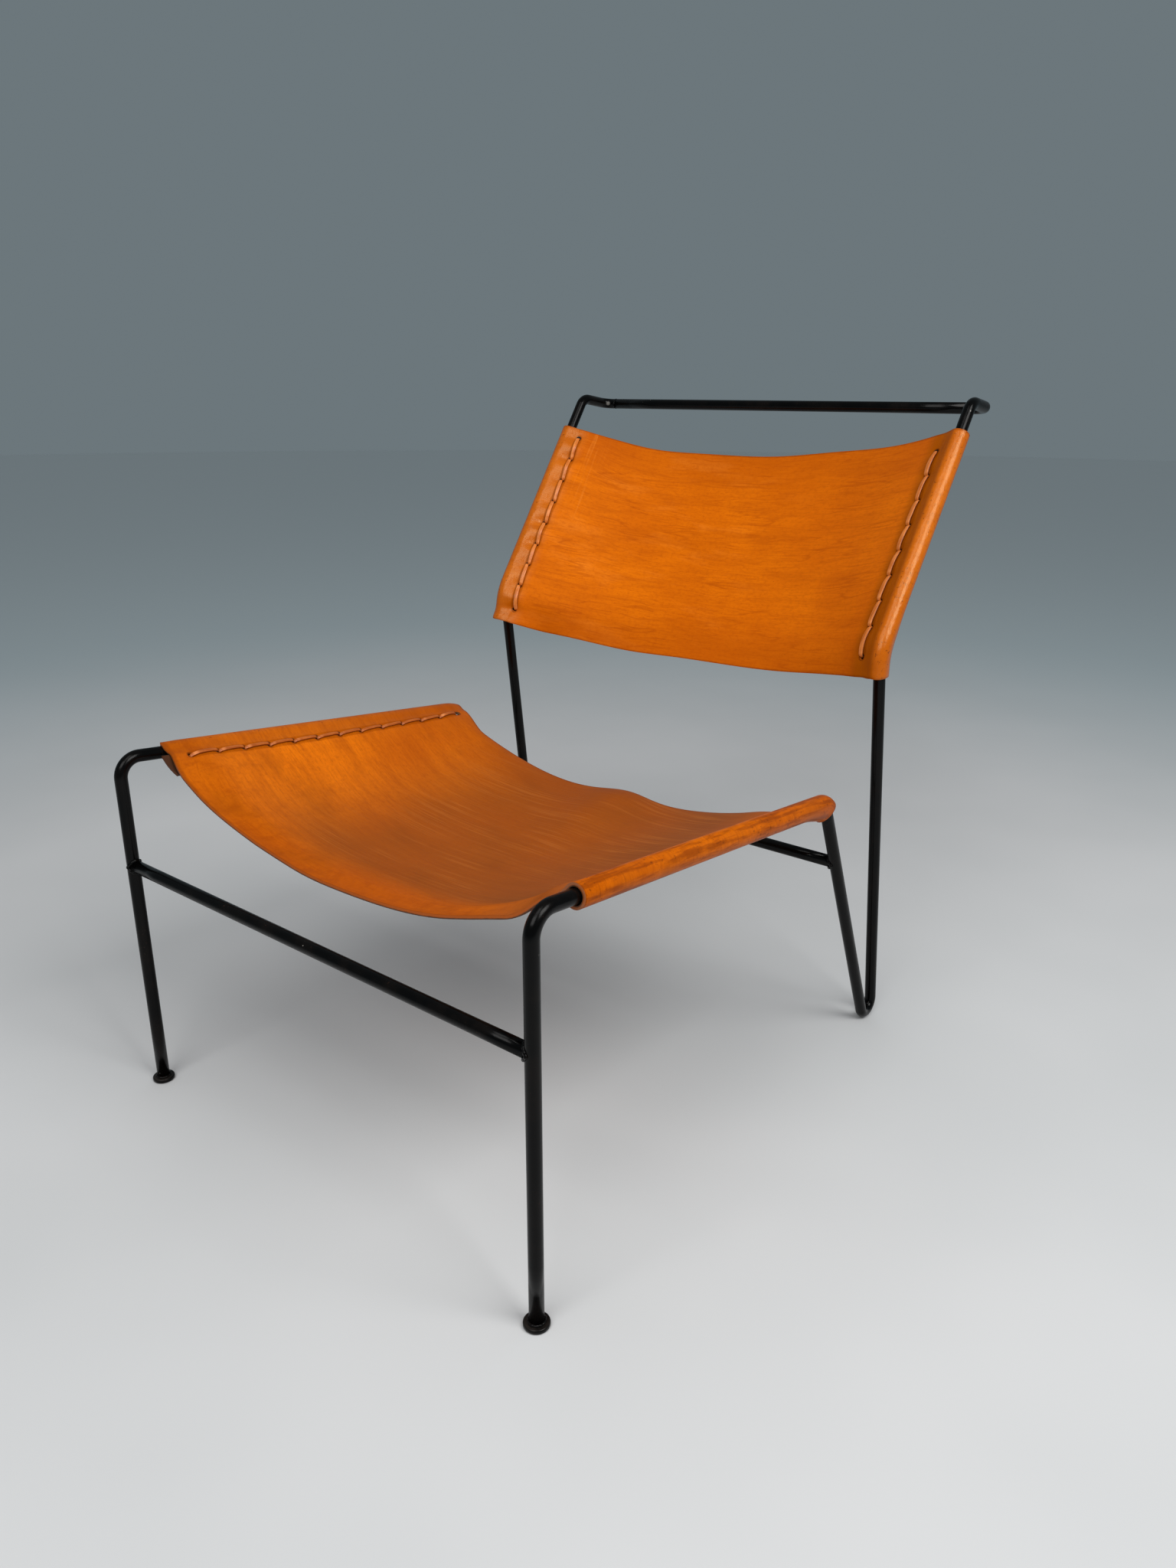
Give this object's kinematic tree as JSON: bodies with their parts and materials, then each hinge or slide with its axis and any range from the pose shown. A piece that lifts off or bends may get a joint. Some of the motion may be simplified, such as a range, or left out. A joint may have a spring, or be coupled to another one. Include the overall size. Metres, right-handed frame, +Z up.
{
  "type": "sling lounge chair",
  "caption": "Low lounge chair with laced cognac leather slings for seat and back on a black bent rod frame.",
  "frame": {"origin": "on the floor, under the middle of the chair's bounding box", "axes": "+Z up, +Y from the front legs to the back, +X to the right as seen from the front"},
  "size_m": [0.57, 0.8082, 0.7158],
  "materials": {
    "frame_paint": "semi-gloss black paint on steel",
    "glide": "satin black",
    "sling_leather": "waxed cognac hide with a soft shine, darker in the seat",
    "lacing_leather": "matt tan lace"
  },
  "bodies": {
    "root": {"left_side_frame": "frame_paint", "right_side_frame": "frame_paint", "top_crossbar": "frame_paint", "front_stretcher": "frame_paint", "rear_stretcher": "frame_paint", "left_glide_weld": "frame_paint", "right_glide_weld": "frame_paint", "left_crossbar_weld": "frame_paint", "right_crossbar_weld": "frame_paint", "left_front_stretcher_weld": "frame_paint", "right_front_stretcher_weld": "frame_paint", "left_rear_stretcher_weld": "frame_paint", "right_rear_stretcher_weld": "frame_paint", "left_front_glide": "glide", "right_front_glide": "glide", "seat_sling": "sling_leather", "back_sling": "sling_leather", "left_seat_lacing": "lacing_leather", "right_seat_lacing": "lacing_leather", "left_back_lacing": "lacing_leather", "right_back_lacing": "lacing_leather"}
  },
  "joints": []
}
